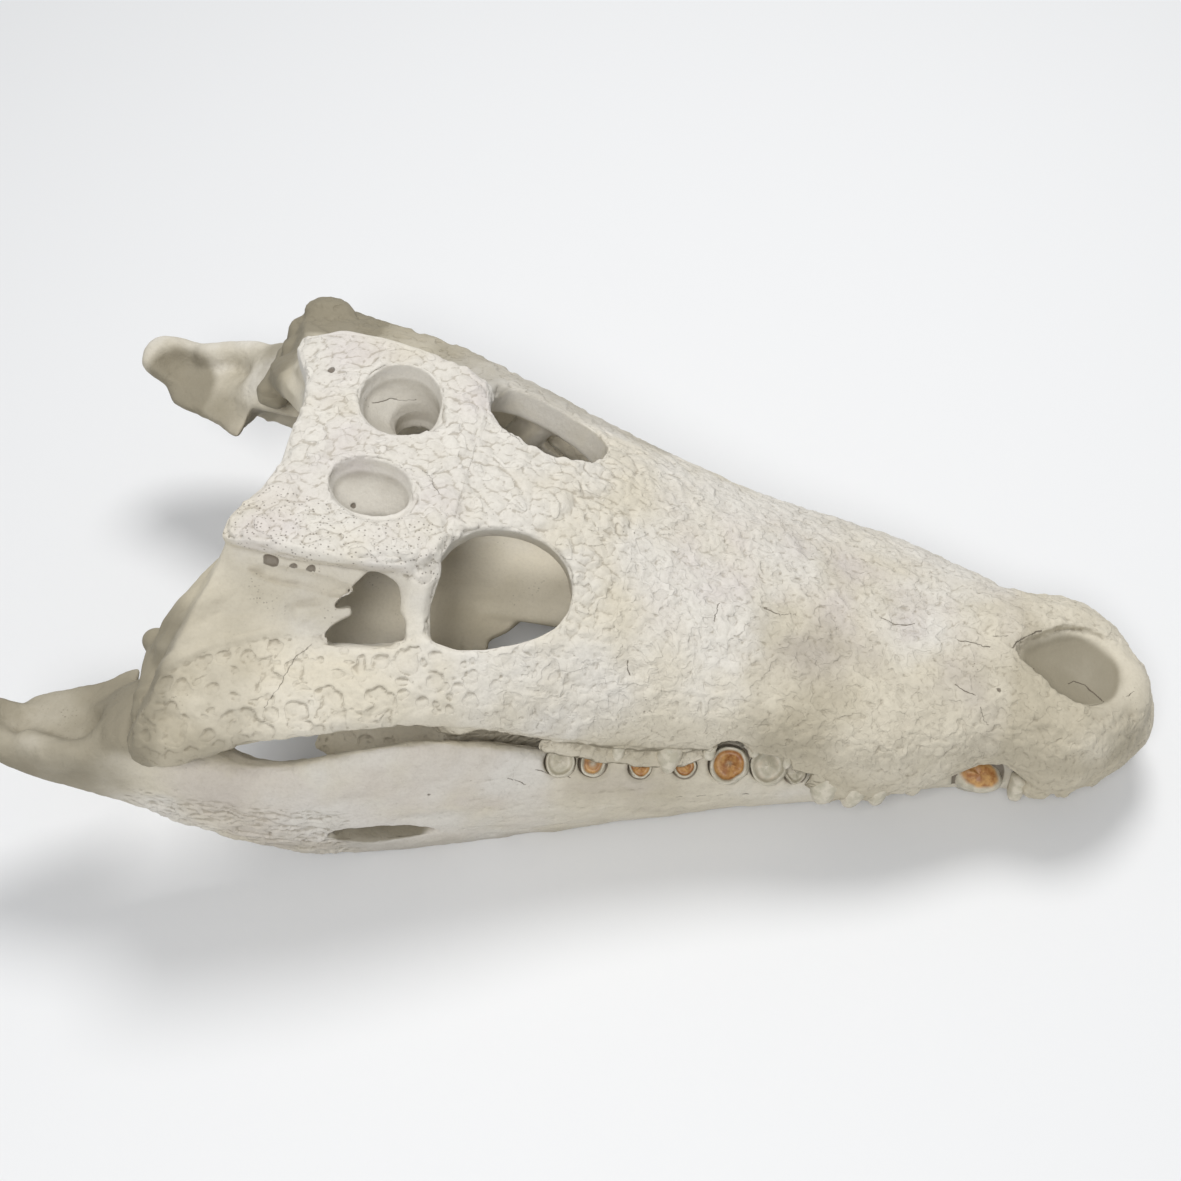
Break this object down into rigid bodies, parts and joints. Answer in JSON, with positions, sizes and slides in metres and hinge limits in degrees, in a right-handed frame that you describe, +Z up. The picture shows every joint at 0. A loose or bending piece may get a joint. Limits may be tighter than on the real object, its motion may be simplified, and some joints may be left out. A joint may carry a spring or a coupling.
{
  "type": "crocodile skull",
  "caption": "Dry skull of a large adult crocodile with its lower jaw, mouth closed, lying on the jaw's underside.",
  "frame": {"origin": "on the floor, under the middle of the skull's bounding box", "axes": "+X towards the snout, +Y to the animal's left, +Z up; the skull rests with its snout dipped about ten degrees"},
  "size_m": [0.6944, 0.3606, 0.2308],
  "materials": {
    "bleached_bone": "weathered dry bone, matt, pitted and wrinkled sculpture, pale grey cream",
    "smooth_bone": "dry bone, matt, smooth to finely grained, warm cream",
    "stained_bone": "dry bone, matt, with olive brown stains"
  },
  "bodies": {
    "root": {"premaxilla": "bleached_bone", "skull_table": "bleached_bone", "nasals": "bleached_bone", "maxilla_left": "bleached_bone", "maxilla_right": "bleached_bone", "jugal_left": "bleached_bone", "jugal_right": "bleached_bone", "forehead": "bleached_bone", "palate": "smooth_bone", "braincase": "smooth_bone", "quadrate_left": "smooth_bone", "quadrate_right": "smooth_bone", "surangular_left": "smooth_bone", "surangular_right": "smooth_bone", "dentary_left": "smooth_bone", "dentary_right": "smooth_bone", "articular_left": "stained_bone", "articular_right": "stained_bone"}
  },
  "joints": []
}
